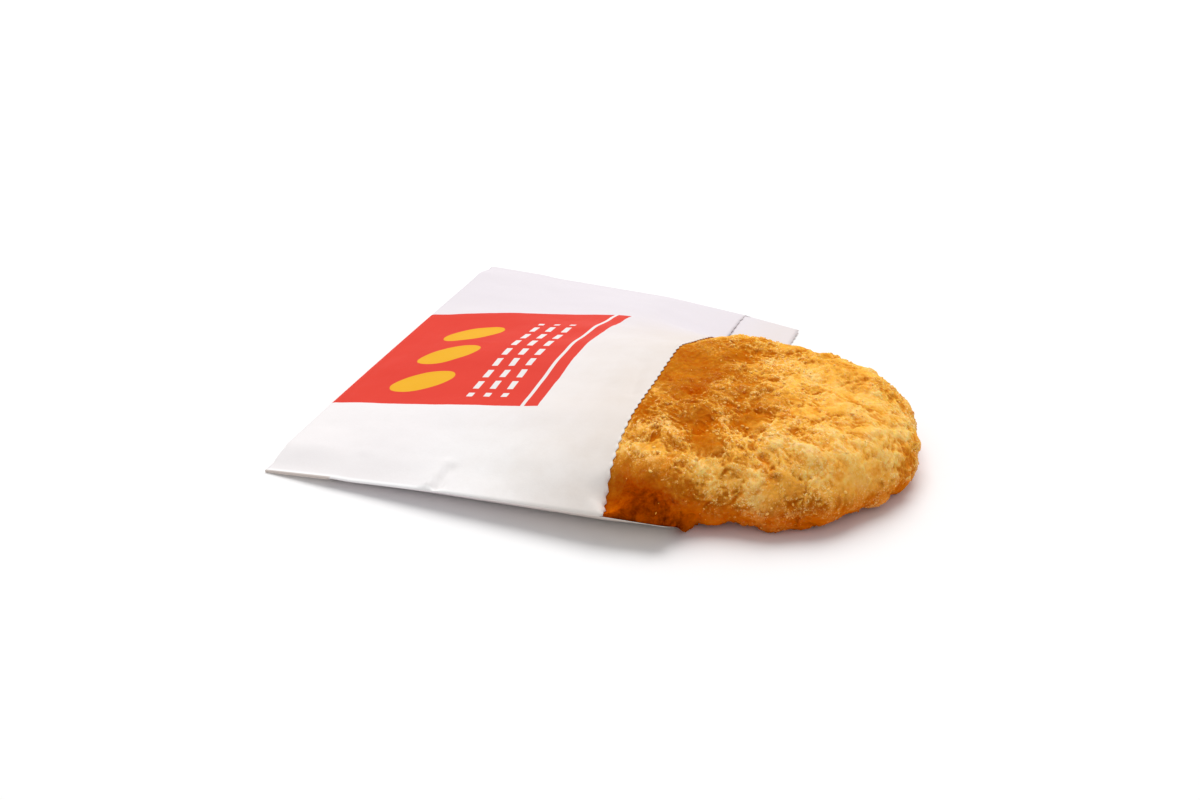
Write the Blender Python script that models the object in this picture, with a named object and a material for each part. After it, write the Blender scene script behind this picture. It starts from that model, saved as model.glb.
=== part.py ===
"""A fried hash brown patty lying half out of its flat paper sleeve.

Lengths are metres and +Z is up. Everything is first laid out in the sleeve's own frame: X runs from
the sleeve's closed end to its mouth, Y from its near side fold to its far one, and Z = 0 is the
surface that it lies on. The last step moves the middle of the whole object's base to the origin.
"""

import math

import bmesh
import bpy
import numpy as np
from mathutils import Vector, noise

MM = 0.001

# Paper sleeve: a flat tube of one sheet, its back longer than its front by a lip.
SLEEVE_WIDTH = 111.6 * MM
BACK_LENGTH = 87.0 * MM
FRONT_LENGTH = 74.1 * MM
FRONT_SKEW = 0.8 * MM  # how far past square the front's cut is at the near fold, and short of it at the far
BACK_SKEW = -0.65 * MM
SHEET = 0.35 * MM  # one wall of the sleeve
LAYER_GAP = 0.2 * MM  # free space kept between two walls that lie on each other
FLAP_LENGTH = 15 * MM  # the closed end is folded under and glued over this length
FLAP_STEP = 0.3 * MM
FLAP_EDGE = 0.1 * MM  # length over which that step is made
FLAP_RELAX = 6 * MM  # the back sheet comes down from the flap over this length
HEEL = 5 * MM  # the front sheet springs up from the closed fold over this length
HEEL_ROWS = (1.2 * MM, 2.6 * MM)
HEEL_LIFT = 1.6 * MM
HEEL_START = 0.75  # share of that rise already there at the fold itself
HEEL_CORNER = 9 * MM  # it fades out over this width beside each side fold
COLUMNS = 26
HALVED_COLUMNS = 3  # cut in two beside the near fold, where the back sheet bends
ROW_PITCH = 6.0 * MM
LIP_ROWS = 3
TEETH_PER_COLUMN = 2
TOOTH_DEPTH = 0.6 * MM

# The side folds, as (distance from the closed end, Y, height of the underside).
NEAR_FOLD = ((0, 0, 0), (20 * MM, 0.3 * MM, 2.1 * MM), (40 * MM, 0.8 * MM, 4.0 * MM),
             (74 * MM, 1.7 * MM, 6.1 * MM), (90 * MM, 4.5 * MM, 5.2 * MM))
FAR_FOLD = ((0, 111.6 * MM, 0), (52 * MM, 108.2 * MM, 1.4 * MM), (74 * MM, 107.0 * MM, 0.4 * MM),
            (90 * MM, 104.2 * MM, 0.2 * MM))
NEAR_BEND = 0.095  # how far in from the near fold the back sheet lifts, per distance from the closed end
NEAR_BEND_LEAST = 3 * MM
FAR_BEND = 14 * MM  # how far in from the far fold the back sheet lifts
BEND_ROUND = 0.5  # share of that reach over which the sheet curves back onto the table

# Sections of the front sheet over the patty between its folds, as (Y, height of the outer face).
MIDDLE_STATION = 52 * MM
MIDDLE_SECTION = ((12 * MM, 9.0 * MM), (26 * MM, 12.3 * MM), (44 * MM, 13.5 * MM), (56 * MM, 13.1 * MM),
                  (71 * MM, 10.4 * MM), (84 * MM, 7.4 * MM))
MOUTH_STATION = 74 * MM
MOUTH_SECTION = ((9.1 * MM, 11.7 * MM), (16.1 * MM, 14.6 * MM), (23.3 * MM, 16.1 * MM), (32 * MM, 16.4 * MM),
                 (54 * MM, 16.5 * MM), (58 * MM, 15.9 * MM), (66.4 * MM, 12.9 * MM), (76.3 * MM, 9.2 * MM),
                 (80.5 * MM, 7.4 * MM), (84.5 * MM, 4.3 * MM), (88.5 * MM, 2.2 * MM), (93 * MM, 1.3 * MM))
TABLE_PITCH = 1 * MM
LEAST_RUN = 0.5  # least advance from one table row to the next, as a share of their pitch
SPARE_LENGTH = 4 * MM
SECTION_SAMPLES = 113
SOFTEN_ACROSS = 5  # samples over which a section's corners are rounded
SOFTEN_ALONG = 9  # table rows over which the change from one section to the next is rounded
FOLD_BLEND = 0.12  # share of the width over which the front sheet is drawn onto its folds

# Hash brown patty: a rounded oval slab, turned a little in the sleeve, its tip out of the mouth.
PATTY_CENTRE = (76.8 * MM, 43.0 * MM)
PATTY_TURN = math.radians(14.1)
PATTY_TIP = 52.6 * MM  # half-length of the end that shows
PATTY_HIDDEN = 38.0 * MM  # half-length of the end inside the sleeve
PATTY_HALF_WIDTH = 32.8 * MM
PATTY_SQUARENESS = 2.53
# Unevenness of the outline, as (lobes round it, share as a cosine, share as a sine).
PATTY_LOBES = ((2, -0.043, -0.003), (3, -0.032, -0.024), (4, 0.007, -0.033), (5, 0.011, 0.040))
# A chunk that stands out of the near side at the mouth, as (direction, spread to the hidden end, to the tip).
CHUNK_DIRECTION = math.radians(-93)
CHUNK_SPREAD = (math.radians(16), math.radians(12))
CHUNK_RISE = 3.6 * MM
PATTY_THICKNESS = 14.8 * MM
PATTY_WAIST = 4.8 * MM  # height of the widest part above the base
PATTY_SHOULDER = 15.0 * MM  # depth of the rounded side above the waist
SHOULDER_FALL = 1.25  # above 1, the shoulder slopes more than an ellipse does
PATTY_UNDERSIDE = 4.0 * MM  # depth of the rounded side below the waist
WAIST_SHARE = -0.5  # where the waist falls between the cube's faces at -1 and 1
PATTY_CROWN = 0.9 * MM
PATTY_BASE = 0.75 * MM
TIP_DROP = 0.4 * MM  # the underside comes down past the sleeve's lip
TIP_DROP_START = 8 * MM
TIP_DROP_RUN = 12 * MM
PATTY_CELLS = (40, 30, 12)

# Relief of the fried crust, as (size of the lumps, height).
RELIEF_SHIFT = (130 * MM, 121 * MM, 93 * MM)
SWELLS = (17 * MM, 0.75 * MM)
LUMPS = (7.5 * MM, 0.6 * MM)
CHIPS = (5.2 * MM, 0.75 * MM)
CREVICE = (0.16, 0.55 * MM)  # width in chips, and depth
LUMP_SHIFT = (5.1, 2.3, 8.7)
CHIP_SPREAD = 7.3
CLEARANCE = 0.5 * MM  # kept between the patty's vertices and the paper
FOLD_CLEARANCE = 1.3 * MM
FLOOR_CLEARANCE = 0.12 * MM
MOUTH_RISE = 0.45  # how steeply the crust may rise from under the mouth's edge
LIP_FALL = 1.2  # how steeply it may hang down past the lip
PRESS = 1.2 * MM  # height over which the paper's hold on the crust fades in

SAME = 1e-5  # unit distance within which two places on the box are one

PAPER_COLOUR = (0.86, 0.83, 0.83)
CRUST_COLOUR = (0.62, 0.29, 0.055)


def clear_scene():
    """Removes whatever the file opened with."""
    for obj in list(bpy.data.objects):
        bpy.data.objects.remove(obj, do_unlink=True)


def principled(name, colour, roughness):
    """A plain Principled material."""
    material = bpy.data.materials.new(name)
    material.use_nodes = True
    shader = material.node_tree.nodes["Principled BSDF"]
    shader.inputs["Base Color"].default_value = (*colour, 1.0)
    shader.inputs["Roughness"].default_value = roughness
    shader.inputs["Metallic"].default_value = 0.0
    return material


def smooth_step(t):
    t = np.clip(t, 0.0, 1.0)
    return t * t * (3.0 - 2.0 * t)


def soften(values, width):
    """Running mean along the first axis, with both ends held."""
    pad = width // 2
    held = np.concatenate([np.repeat(values[:1], pad, 0), values, np.repeat(values[-1:], pad, 0)])
    mean = sum(held[i:i + len(values)] for i in range(width)) / width
    mean[0], mean[-1] = values[0], values[-1]
    return mean


def fold_at(fold, s):
    """Y and height of a side fold at the distances s from the closed end."""
    knots = np.array(fold)
    return np.interp(s, knots[:, 0], knots[:, 1]), np.interp(s, knots[:, 0], knots[:, 2])


def even_section(points):
    """A section's polyline, resampled at even steps of its own length and rounded."""
    points = np.array(points)
    run = np.concatenate([[0.0], np.cumsum(np.hypot(*np.diff(points, axis=0).T))])
    steps = np.linspace(0.0, run[-1], SECTION_SAMPLES)
    section = np.column_stack([np.interp(steps, run, points[:, k]) for k in (0, 1)])
    return soften(section, SOFTEN_ACROSS)


def section_between_folds(station, inner):
    """A front section closed at both side folds, whose two walls lie on each other there."""
    pair = 2 * SHEET + LAYER_GAP
    near_y, near_z = fold_at(NEAR_FOLD, station)
    far_y, far_z = fold_at(FAR_FOLD, station)
    return even_section([(near_y, near_z + pair), *inner, (far_y, far_z + pair)])


def bent_up(t):
    """Height share of a sheet that curves off the table at t = 0 and then runs straight up to t = 1."""
    t = np.clip(t, 0.0, 1.0)
    return np.where(t < BEND_ROUND, t * t / (2 * BEND_ROUND), t - BEND_ROUND / 2) / (1 - BEND_ROUND / 2)


class Drape:
    """The two sheets of the sleeve as tables over distance from the closed end and share of width."""

    def __init__(self):
        self.s = np.arange(0.0, BACK_LENGTH + SPARE_LENGTH, TABLE_PITCH)
        self.q = np.linspace(0.0, 1.0, SECTION_SAMPLES)
        self.front = self.front_table()
        self.back = self.back_table()
        self.cut = FRONT_LENGTH + FRONT_SKEW * (1 - 2 * self.q)
        self.mouth = np.array([self.at(self.front, s, q) for s, q in zip(self.cut, self.q)])

    def front_table(self):
        pair = 2 * SHEET + LAYER_GAP
        rise = pair + HEEL_LIFT * smooth_step(np.minimum(self.q, 1 - self.q) * SLEEVE_WIDTH / HEEL_CORNER)
        closed = np.column_stack([self.q * SLEEVE_WIDTH, rise])
        middle = section_between_folds(MIDDLE_STATION, MIDDLE_SECTION)
        mouth = section_between_folds(MOUTH_STATION, MOUTH_SECTION)
        rows = []
        for s in self.s:
            if s < MIDDLE_STATION:
                row = closed + (middle - closed) * (s / MIDDLE_STATION)
            else:
                row = middle + (mouth - middle) * ((s - MIDDLE_STATION) / (MOUTH_STATION - MIDDLE_STATION))
            rows.append(row)
        yz = soften(np.array(rows), SOFTEN_ALONG)
        for fold, share in ((NEAR_FOLD, self.q), (FAR_FOLD, 1 - self.q)):
            end = 0 if fold is NEAR_FOLD else -1
            fold_y, fold_z = fold_at(fold, self.s)
            off = np.column_stack([fold_y, fold_z + pair]) - yz[:, end]
            yz = yz + off[:, None] * np.clip(1 - share / FOLD_BLEND, 0, 1)[:, None]
        heel = smooth_step(HEEL_START + (1 - HEEL_START) * self.s / HEEL)[:, None]
        yz[:, :, 1] = pair + (yz[:, :, 1] - pair) * heel
        step = np.diff(yz, axis=0)
        run = np.sqrt(np.maximum(TABLE_PITCH ** 2 - (step ** 2).sum(2), (LEAST_RUN * TABLE_PITCH) ** 2))
        x = np.concatenate([np.zeros((1, SECTION_SAMPLES)), np.cumsum(run, axis=0)])
        return np.dstack([x, yz])

    def back_table(self):
        near_y, near_z = fold_at(NEAR_FOLD, self.s)
        far_y, far_z = fold_at(FAR_FOLD, self.s)
        y = near_y[:, None] + (far_y - near_y)[:, None] * self.q
        reach = NEAR_BEND_LEAST + NEAR_BEND * self.s
        up_near = bent_up(1 - (y - near_y[:, None]) / reach[:, None])
        up_far = bent_up(1 - (far_y[:, None] - y) / FAR_BEND)
        z = near_z[:, None] * up_near + far_z[:, None] * up_far
        relax = 1.0 - smooth_step((self.s - FLAP_LENGTH) / FLAP_RELAX)
        z = z + FLAP_STEP * relax[:, None]
        x = np.repeat(self.s[:, None], SECTION_SAMPLES, 1)
        return np.dstack([x, y, z])

    def at(self, table, s, q):
        """A point of one sheet, read between the table's rows and columns."""
        i = min(max(s / TABLE_PITCH, 0.0), len(self.s) - 1.001)
        j = min(max(q, 0.0), 0.999999) * (SECTION_SAMPLES - 1)
        i0, j0 = int(i), int(j)
        a, b = i - i0, j - j0
        low = table[i0, j0] * (1 - b) + table[i0, j0 + 1] * b
        high = table[i0 + 1, j0] * (1 - b) + table[i0 + 1, j0 + 1] * b
        return Vector(low * (1 - a) + high * a)

    def row_height(self, table, s, y):
        """Height of one sheet above a point of the table, at the distance s along it."""
        i = min(max(s / TABLE_PITCH, 0.0), len(self.s) - 1.001)
        low, high = (np.interp(y, row[:, 1], row[:, 2]) for row in table[int(i):int(i) + 2])
        return float(low + (high - low) * (i - int(i)))

    def front_height(self, x, y):
        """Height of the front sheet's outer face, and how far past the front's cut the point lies."""
        end = float(np.interp(y, self.mouth[:, 1], self.mouth[:, 0]))
        s = x * float(np.interp(y, self.mouth[:, 1], self.cut)) / end
        return self.row_height(self.front, min(s, self.cut[0]), y), max(x - end, 0.0)

    def back_height(self, x, y):
        """Height of the back sheet's underside above a point of the table."""
        return self.row_height(self.back, x, y)


def slice_box(bm, axis, places):
    """Cuts a box across one axis at each of the given places."""
    normal = Vector((0, 0, 0))
    normal[axis] = 1.0
    for place in places:
        point = normal * place
        geometry = bm.verts[:] + bm.edges[:] + bm.faces[:]
        bmesh.ops.bisect_plane(bm, geom=geometry, plane_co=point, plane_no=normal, dist=SAME / 100)


def rim_edges(bm, u, w):
    """Edges of one sheet that run across the sleeve at the unit distance u."""
    return [e for e in bm.edges
            if all(abs(v.co.x - u) < SAME and abs(v.co.z - w) < SAME for v in e.verts)
            and abs(e.verts[0].co.y - e.verts[1].co.y) > SAME]


def cut_teeth(bm, u, w):
    """Breaks a straight rim up for the zigzag that a toothed knife leaves."""
    for width in (1.0, 0.5):
        pieces = round(width * 2 * TEETH_PER_COLUMN)
        edges = [e for e in rim_edges(bm, u, w) if abs(e.calc_length() - width / COLUMNS) < SAME]
        bmesh.ops.subdivide_edges(bm, edges=edges, cuts=pieces - 1)


def sleeve_rows():
    """Unit distances of the rows between the closed end and the front's mouth."""
    rows = list(np.arange(ROW_PITCH, FRONT_LENGTH - ROW_PITCH / 2, ROW_PITCH))
    rows += [*HEEL_ROWS, FLAP_LENGTH - FLAP_EDGE / 2, FLAP_LENGTH + FLAP_EDGE / 2]
    return [r / FRONT_LENGTH for r in sorted(rows)]


def sleeve_columns():
    """Unit places of the lines that run along the sleeve between its side folds."""
    return [k / COLUMNS for k in range(1, COLUMNS)] + [(k + 0.5) / COLUMNS for k in range(HALVED_COLUMNS)]


def unit_sleeve():
    """The sleeve's outer skin on a unit box: X 0 to 1 is closed end to mouth, Z picks the sheet."""
    bm = bmesh.new()
    bmesh.ops.create_cube(bm, size=1.0)
    bmesh.ops.translate(bm, verts=bm.verts, vec=(0.5, 0.5, 0.5))
    slice_box(bm, 0, sleeve_rows())
    slice_box(bm, 1, sleeve_columns())
    mouth = [f for f in bm.faces if all(v.co.x > 1 - SAME for v in f.verts)]
    bmesh.ops.delete(bm, geom=mouth, context="FACES")
    lip_step = (BACK_LENGTH / FRONT_LENGTH - 1.0) / LIP_ROWS
    edges = rim_edges(bm, 1.0, 0.0)
    for _ in range(LIP_ROWS):
        out = bmesh.ops.extrude_edge_only(bm, edges=edges)["geom"]
        verts = [g for g in out if isinstance(g, bmesh.types.BMVert)]
        bmesh.ops.translate(bm, verts=verts, vec=(lip_step, 0, 0))
        edges = [g for g in out if isinstance(g, bmesh.types.BMEdge)
                 and all(v in verts for v in g.verts)]
    cut_teeth(bm, 1.0, 1.0)
    cut_teeth(bm, BACK_LENGTH / FRONT_LENGTH, 0.0)
    return bm


def place_sleeve_vertex(drape, co):
    """Where a vertex of the unit skin lies on the draped sleeve."""
    s = co.x * FRONT_LENGTH
    lip = BACK_LENGTH / FRONT_LENGTH
    on_front = co.z > 0.5
    on_rim = abs(co.x - (1.0 if on_front else lip)) < SAME
    if on_rim and SAME < co.y < 1 - SAME:
        step = round(co.y * COLUMNS * 2 * TEETH_PER_COLUMN)
        s += TOOTH_DEPTH * (0.5 if step % 2 else -0.5)
    skew = (FRONT_SKEW if on_front else BACK_SKEW) * (1.0 - 2.0 * co.y) * min(co.x, 1.0)
    point = drape.at(drape.front if on_front else drape.back, s + skew, co.y)
    if not on_front and s < FLAP_LENGTH:
        point.z -= FLAP_STEP
    return point


def build_sleeve(drape, material):
    """The paper sleeve, as a skin with a Solidify modifier for its wall."""
    bm = unit_sleeve()
    for vert in bm.verts:
        vert.co = place_sleeve_vertex(drape, vert.co.copy())
    bmesh.ops.recalc_face_normals(bm, faces=bm.faces)
    mesh = bpy.data.meshes.new("paper_sleeve")
    bm.to_mesh(mesh)
    bm.free()
    mesh.materials.append(material)
    sleeve = bpy.data.objects.new("paper_sleeve", mesh)
    bpy.context.scene.collection.objects.link(sleeve)
    wall = sleeve.modifiers.new("wall", "SOLIDIFY")
    wall.thickness = SHEET
    wall.offset = -1.0
    wall.use_even_offset = True
    return sleeve


def patty_radius(angle):
    """Distance from the patty's centre to its outline in a direction of its own frame."""
    half = PATTY_TIP if math.cos(angle) > 0 else PATTY_HIDDEN
    n = PATTY_SQUARENESS
    plain = (abs(math.cos(angle) / half) ** n + abs(math.sin(angle) / PATTY_HALF_WIDTH) ** n) ** (-1 / n)
    uneven = sum(c * math.cos(k * angle) + s * math.sin(k * angle) for k, c, s in PATTY_LOBES)
    away = angle - CHUNK_DIRECTION
    chunk = CHUNK_RISE * math.exp(-(away / CHUNK_SPREAD[0 if away < 0 else 1]) ** 2)
    return plain * (1 + uneven) + chunk


def slab_point(u, v, w):
    """Maps a point of the cube from -1 to 1 onto the smooth rounded slab, in the patty's own frame."""
    disc = Vector((u * math.sqrt(1 - v * v / 2), v * math.sqrt(1 - u * u / 2)))
    share = disc.length
    half = PATTY_TIP if disc.x > 0 else PATTY_HIDDEN
    angle = math.atan2(disc.y * PATTY_HALF_WIDTH, disc.x * half)
    if w > WAIST_SHARE:
        theta = (w - WAIST_SHARE) / (1 - WAIST_SHARE) * math.pi / 2
        inset = PATTY_SHOULDER
        height = PATTY_WAIST + (PATTY_THICKNESS - PATTY_WAIST) * math.sin(theta) ** SHOULDER_FALL
        height += PATTY_CROWN * (1 - share * share)
    else:
        theta = (w - WAIST_SHARE) / (1 + WAIST_SHARE) * math.pi / 2
        inset = PATTY_UNDERSIDE
        height = PATTY_WAIST * (1 + math.sin(theta))
    radius = (patty_radius(angle) - inset * (1 - math.cos(theta))) * share
    return Vector((radius * math.cos(angle), radius * math.sin(angle), PATTY_BASE + height))


def crust_relief(p):
    """Height of the fried crust above the smooth slab at a point."""
    p = p + Vector(RELIEF_SHIFT)
    swell = noise.noise(p / SWELLS[0]) * SWELLS[1]
    lump = noise.noise(p / LUMPS[0] + Vector(LUMP_SHIFT)) * LUMPS[1]
    distances, centres = noise.voronoi(p / CHIPS[0])
    level = noise.noise(centres[0] * CHIP_SPREAD) * CHIPS[1]
    crack = math.exp(-(distances[1] - distances[0]) / CREVICE[0]) * CREVICE[1]
    return swell + lump + level - crack


def smooth_min(a, b):
    """The lesser of two heights, eased where they are near each other."""
    near = max(PRESS - abs(a - b), 0.0) / PRESS
    return min(a, b) - near ** 3 * PRESS / 6


def under_paper(drape, point):
    """Keeps a point of the patty off both sheets and off the table."""
    past_lip = max(point.x - BACK_LENGTH - 2 * TOOTH_DEPTH, 0.0)
    if past_lip == 0.0:
        fold_y, _ = fold_at(NEAR_FOLD, point.x)
        point.y = max(point.y, fold_y + FOLD_CLEARANCE)
    sheet = drape.back_height(min(point.x, BACK_LENGTH), point.y)
    spare = CLEARANCE * (1 + smooth_step(sheet / CLEARANCE))
    floor = sheet + SHEET + spare - LIP_FALL * past_lip
    sheet, past_mouth = drape.front_height(point.x, point.y)
    roof = sheet - SHEET - CLEARANCE + MOUTH_RISE * max(past_mouth - TOOTH_DEPTH, 0.0)
    point.z = smooth_min(point.z, roof)
    point.z = max(point.z, floor, FLOOR_CLEARANCE)
    return point


def build_patty(drape, material):
    """The hash brown: a rounded slab with its crust's relief, kept clear of the paper."""
    bm = bmesh.new()
    bmesh.ops.create_cube(bm, size=2.0)
    for axis, cells in enumerate(PATTY_CELLS):
        slice_box(bm, axis, [2 * k / cells - 1 for k in range(1, cells)])
    turn = Vector((math.cos(PATTY_TURN), math.sin(PATTY_TURN)))
    for vert in bm.verts:
        p = slab_point(*vert.co)
        drop = TIP_DROP * smooth_step((p.x - TIP_DROP_START) / TIP_DROP_RUN)
        vert.co = (PATTY_CENTRE[0] + p.x * turn.x - p.y * turn.y,
                   PATTY_CENTRE[1] + p.x * turn.y + p.y * turn.x, p.z - drop)
    bm.normal_update()
    raised = [(vert, vert.co + vert.normal * crust_relief(vert.co)) for vert in bm.verts]
    for vert, point in raised:
        vert.co = under_paper(drape, point)
    bmesh.ops.triangulate(bm, faces=bm.faces)
    mesh = bpy.data.meshes.new("hash_brown")
    bm.to_mesh(mesh)
    bm.free()
    mesh.materials.append(material)
    mesh.shade_smooth()
    patty = bpy.data.objects.new("hash_brown", mesh)
    bpy.context.scene.collection.objects.link(patty)
    return patty


def stand_on_origin(objects):
    """Moves the meshes so that the middle of the base of their common box is at the origin."""
    corners = np.array([v.co for obj in objects for v in obj.data.vertices])
    low, high = corners.min(0), corners.max(0)
    shift = Vector((-(low[0] + high[0]) / 2, -(low[1] + high[1]) / 2, 0.0))
    for obj in objects:
        for vert in obj.data.vertices:
            vert.co += shift


def main():
    clear_scene()
    drape = Drape()
    paper = principled("sleeve_paper", PAPER_COLOUR, 0.65)
    crust = principled("fried_crust", CRUST_COLOUR, 0.45)
    sleeve = build_sleeve(drape, paper)
    patty = build_patty(drape, crust)
    stand_on_origin([sleeve, patty])


main()
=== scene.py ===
"""A fried hash brown half out of its flat printed paper sleeve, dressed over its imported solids.

Lengths are metres and +Z is up. Shapes are worked out in the sleeve's own frame: X runs from its closed
end to its mouth, Y from its near side fold to its far one, and Z = 0 is the surface that it lies on.
CORNER is where that frame's origin lies in the part.
"""

import math
import random

import bmesh
import bpy
import numpy as np
from mathutils import Matrix, Quaternion, Vector, noise


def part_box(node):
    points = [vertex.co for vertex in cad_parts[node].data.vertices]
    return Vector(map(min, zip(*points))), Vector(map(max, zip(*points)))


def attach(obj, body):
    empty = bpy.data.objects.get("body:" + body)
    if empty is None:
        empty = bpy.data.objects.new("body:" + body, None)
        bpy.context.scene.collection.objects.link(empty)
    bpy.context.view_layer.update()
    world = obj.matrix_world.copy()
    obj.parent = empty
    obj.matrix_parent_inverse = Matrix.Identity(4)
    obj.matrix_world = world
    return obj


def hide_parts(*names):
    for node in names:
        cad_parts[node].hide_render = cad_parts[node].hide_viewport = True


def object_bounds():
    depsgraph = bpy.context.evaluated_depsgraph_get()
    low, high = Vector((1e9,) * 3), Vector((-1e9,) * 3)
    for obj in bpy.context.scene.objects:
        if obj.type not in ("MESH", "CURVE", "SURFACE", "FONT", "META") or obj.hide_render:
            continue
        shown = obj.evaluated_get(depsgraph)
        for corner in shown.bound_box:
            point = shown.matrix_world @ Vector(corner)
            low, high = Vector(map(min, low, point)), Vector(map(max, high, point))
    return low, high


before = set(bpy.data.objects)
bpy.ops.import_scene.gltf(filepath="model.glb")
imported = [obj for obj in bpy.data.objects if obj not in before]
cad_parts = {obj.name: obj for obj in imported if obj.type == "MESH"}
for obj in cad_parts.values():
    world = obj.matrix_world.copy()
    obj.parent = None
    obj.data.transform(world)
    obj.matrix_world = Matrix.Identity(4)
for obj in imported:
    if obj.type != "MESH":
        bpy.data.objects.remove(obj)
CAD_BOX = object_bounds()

bl_info = {
    "name": "Hash brown in a paper sleeve",
    "version": (1, 0, 0),
    "blender": (4, 5, 0),
    "location": "View3D > Sidebar > Hash brown",
    "description": "Builds a fried hash brown patty, its printed paper sleeve and a plain studio",
    "category": "Add Mesh",
}

MM = 0.001
SAME = 1e-5  # unit distance within which two places on a unit box are one
ALIGNED = 1e-3  # how far an edge may lean and still run along an axis
CORNER = Vector((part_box("paper_sleeve")[0].x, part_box("paper_sleeve")[0].y, 0.0))


def metres(*rows):
    """Rows of millimetres, in metres."""
    return tuple(tuple(value * MM for value in row) for row in rows)


# ---- paper sleeve: sizes
SLEEVE_WIDTH = 111.6 * MM
BACK_LENGTH = 87.0 * MM
FRONT_LENGTH = 74.1 * MM
FRONT_SKEW = 0.8 * MM  # how much further each sheet runs at its near fold than in its middle
BACK_SKEW = -0.65 * MM
PLY_GAP = 0.04 * MM  # air between two sheets that lie on each other
FLAP_LENGTH = 15 * MM
FLAP_STEP = 0.3 * MM  # how far the flap under it lifts the back sheet
FLAP_RELAX = 6 * MM  # length over which the back sheet comes down again past the flap
HEEL_ROUND = 2.0 * MM  # the front sheet turns over the closed fold on this radius
HEEL_LIFT = 2.0 * MM  # how far the front stands off the back at the closed end
HEEL_CORNER = 9 * MM  # the lift dies away this far from each side fold
FLOOR_GAP = 0.02 * MM
# The side folds, as (distance from the closed end, y, height).
NEAR_FOLD = metres((0, 0, 0), (20, 0.3, 2.1), (40, 0.8, 4.0), (74, 1.7, 6.1), (90, 4.5, 5.2))
FAR_FOLD = metres((0, 111.6, 0.3), (52, 108.2, 1.8), (74, 107.0, 0.8), (90, 104.2, 0.5))
# The back sheet curls up to the side folds over these widths; the near one grows towards the mouth.
NEAR_BEND = 0.095
NEAR_BEND_LEAST = 3 * MM
FAR_BEND = 14 * MM
BEND_ROUND = 0.5  # share of that curl that is round
# Sections of the front sheet over the patty, as (y, height).
MIDDLE_STATION = 52 * MM
MIDDLE_SECTION = metres((12, 9.0), (26, 12.3), (44, 13.5), (56, 13.1), (71, 10.4), (84, 7.4))
MOUTH_STATION = 74 * MM
MOUTH_SECTION = metres((9.1, 11.7), (16.1, 14.6), (23.3, 16.1), (32, 16.4), (54, 16.5), (58, 15.9),
                       (66.4, 12.9), (76.3, 9.2), (80.5, 7.4), (84.5, 4.3), (88.5, 1.6), (93, 0.4))
TABLE_PITCH = 0.5 * MM
LEAST_RUN = 0.2  # least advance from one table row to the next, as a share of their pitch
SPARE_LENGTH = 4 * MM
SECTION_SAMPLES = 225
SOFTEN_ACROSS = 9
SOFTEN_ALONG = 17
FOLD_BLEND = 0.12  # share of the width over which a section is drawn to its fold
LAST_ROW, LAST_SHARE = 1.001, 0.999999  # the tables are read just short of their ends

# ---- paper sleeve: mesh
SLEEVE_COLUMNS, SLEEVE_ROWS, LIP_ROWS, FLAP_ROWS = 208, 88, 10, 10
FOLD_PACKING = 0.35  # how much the rows draw together at the closed fold
TEETH = 52  # across the whole width
ORDER = Vector((1000.0, 1.618, 3.0))  # its dot product differs for all the places on a unit sleeve
BLUNT, BLUNT_SHARE = (0.8, 0.85), 0.55  # where and how much shallower they are near the far fold

# ---- paper sleeve: folds and wrinkles
# Broad unevenness of the front, as (size along, size across, height, place in the noise).
WAVES = ((34 * MM, 17 * MM, 0.6 * MM, 0.7), (13 * MM, 9 * MM, 0.32 * MM, 3.9),
         (5 * MM, 4 * MM, 0.1 * MM, 8.2))
WAVE_FADE = 7 * MM  # the waves start this far from the folds
WAVE_END = (56 * MM, 72 * MM)  # and die away towards the mouth
WAVE_LEFT = 0.35
WRINKLE_EDGE = 1 * MM
# Creases, as (start s, start v, end s, end v, half-width, height) on the flat front sheet.
CREASES = metres((37.2, 0.5, 39.0, 8.0, 1.1, 0.9), (39.2, 0.5, 40.8, 7.0, 0.9, -1.1),
                 (71.0, 34, 68.8, 48, 1.3, -0.6), (66.5, 39, 65.5, 52, 1.8, 0.3),
                 (53, 14, 57, 28, 1.6, 0.22), (20, 9, 24, 22, 1.6, 0.25))
CREASE_FALL = 0.5  # share of its height that a crease loses from start to end
# The front's near corner curls down at the mouth: its span across, its reach in, its slope and a dent.
CURL_SPAN = (0.3 * MM, 9.5 * MM)
CURL_REACH = 3.0 * MM
CURL_SLOPE = 0.6
CURL_DENT = (0.35 * MM, 0.7 * MM)  # depth and half-width


def smooth_step(t):
    t = np.clip(t, 0.0, 1.0)
    return t * t * (3.0 - 2.0 * t)


def ease(value, low, high):
    """0 at low, 1 at high, eased between, whichever is the greater."""
    return float(smooth_step((value - low) / (high - low)))


def soften(values, width):
    """Running mean along the first axis, with both ends held."""
    pad = width // 2
    held = np.concatenate([np.repeat(values[:1], pad, 0), values, np.repeat(values[-1:], pad, 0)])
    mean = sum(held[i:i + len(values)] for i in range(width)) / width
    mean[0], mean[-1] = values[0], values[-1]
    return mean


def fold_at(fold, s):
    """Y and height of a side fold at the distances s from the closed end."""
    knots = np.array(fold)
    return np.interp(s, knots[:, 0], knots[:, 1]), np.interp(s, knots[:, 0], knots[:, 2])


def even_section(points):
    """A section's polyline, resampled at even steps of its own length and rounded."""
    points = np.array(points)
    run = np.concatenate([[0.0], np.cumsum(np.hypot(*np.diff(points, axis=0).T))])
    steps = np.linspace(0.0, run[-1], SECTION_SAMPLES)
    section = np.column_stack([np.interp(steps, run, points[:, k]) for k in (0, 1)])
    return soften(section, SOFTEN_ACROSS)


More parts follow.
